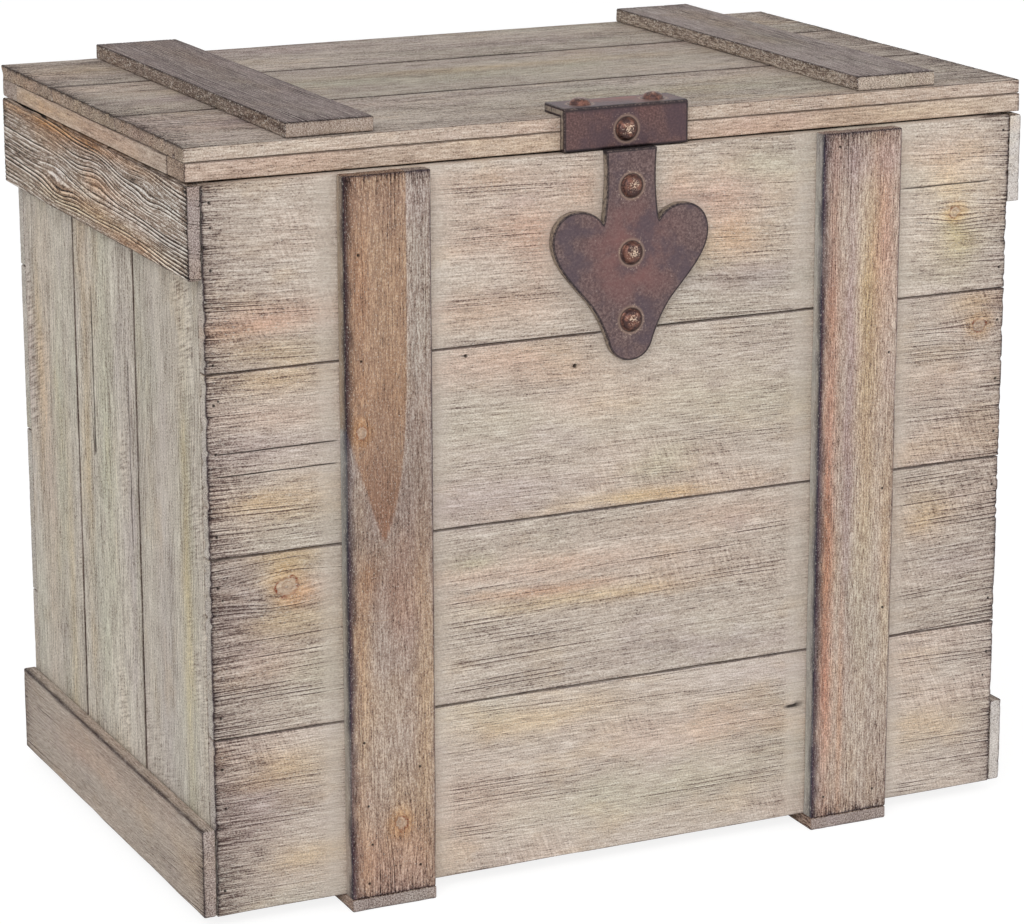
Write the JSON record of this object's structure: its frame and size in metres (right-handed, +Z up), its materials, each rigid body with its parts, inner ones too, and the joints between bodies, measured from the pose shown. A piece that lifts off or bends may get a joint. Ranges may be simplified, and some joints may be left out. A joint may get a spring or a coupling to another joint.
{
  "type": "grain ark chest",
  "caption": "Boarded wooden storage chest on two skids, with level and upright battens, a hinged plank lid and a riveted iron heart hasp.",
  "frame": {"origin": "on the floor, under the middle of the chest's overall box", "axes": "+X to the right along the front, +Y from the front to the back, +Z up"},
  "size_m": [0.498, 0.3214, 0.4281],
  "materials": {
    "wall_boards": "weathered, wire-brushed, whitewashed",
    "side_boards": "weathered, whitewashed",
    "floor_boards": "sawn",
    "uprights": "weathered heartwood with dark edges",
    "side_battens": "wire-brushed, raised grain",
    "lid_boards": "weathered, whitewashed",
    "lid_battens": "wire-brushed, grey-purple stain",
    "iron": "dark, rust-brown, satin",
    "hinge_steel": "aged steel, satin"
  },
  "bodies": {
    "chest": {"front_board_1": "wall_boards", "front_board_2": "wall_boards", "front_board_3": "wall_boards", "front_board_4": "wall_boards", "back_board_1": "wall_boards", "back_board_2": "wall_boards", "back_board_3": "wall_boards", "back_board_4": "wall_boards", "left_board_1": "side_boards", "left_board_2": "side_boards", "left_board_3": "side_boards", "right_board_1": "side_boards", "right_board_2": "side_boards", "right_board_3": "side_boards", "floor_board_1": "floor_boards", "floor_board_2": "floor_boards", "floor_board_3": "floor_boards", "front_batten_left": "uprights", "front_batten_right": "uprights", "back_batten_left": "uprights", "back_batten_right": "uprights", "skid_left": "uprights", "skid_right": "uprights", "left_bottom_batten": "side_battens", "left_top_batten": "side_battens", "right_bottom_batten": "side_battens", "right_top_batten": "side_battens", "heart_plate": "iron", "plate_rivet_1": "iron", "plate_rivet_2": "iron", "plate_rivet_3": "iron", "hinge_left_chest_leaf": "hinge_steel", "hinge_left_pin": "hinge_steel", "hinge_left_chest_screw_a": "hinge_steel", "hinge_left_chest_screw_b": "hinge_steel", "hinge_right_chest_leaf": "hinge_steel", "hinge_right_pin": "hinge_steel", "hinge_right_chest_screw_a": "hinge_steel", "hinge_right_chest_screw_b": "hinge_steel"},
    "lid": {"lid_rail_front": "lid_boards", "lid_rail_back": "lid_boards", "lid_rail_left": "lid_boards", "lid_rail_right": "lid_boards", "lid_plank_1": "lid_boards", "lid_plank_2": "lid_boards", "lid_plank_3": "lid_boards", "lid_batten_left": "lid_battens", "lid_batten_right": "lid_battens", "lid_bracket": "iron", "bracket_rivet_front": "iron", "bracket_rivet_left": "iron", "bracket_rivet_right": "iron", "hinge_left_lid_leaf": "hinge_steel", "hinge_left_lid_screw_a": "hinge_steel", "hinge_left_lid_screw_b": "hinge_steel", "hinge_right_lid_leaf": "hinge_steel", "hinge_right_lid_screw_a": "hinge_steel", "hinge_right_lid_screw_b": "hinge_steel"}
  },
  "joints": [
    {"name": "lid_hinge", "type": "hinge", "parent": "chest", "child": "lid", "pos_m": [0, 0.154, 0.40105], "axis": [-1, 0, 0], "range_deg": [0, 105]}
  ]
}
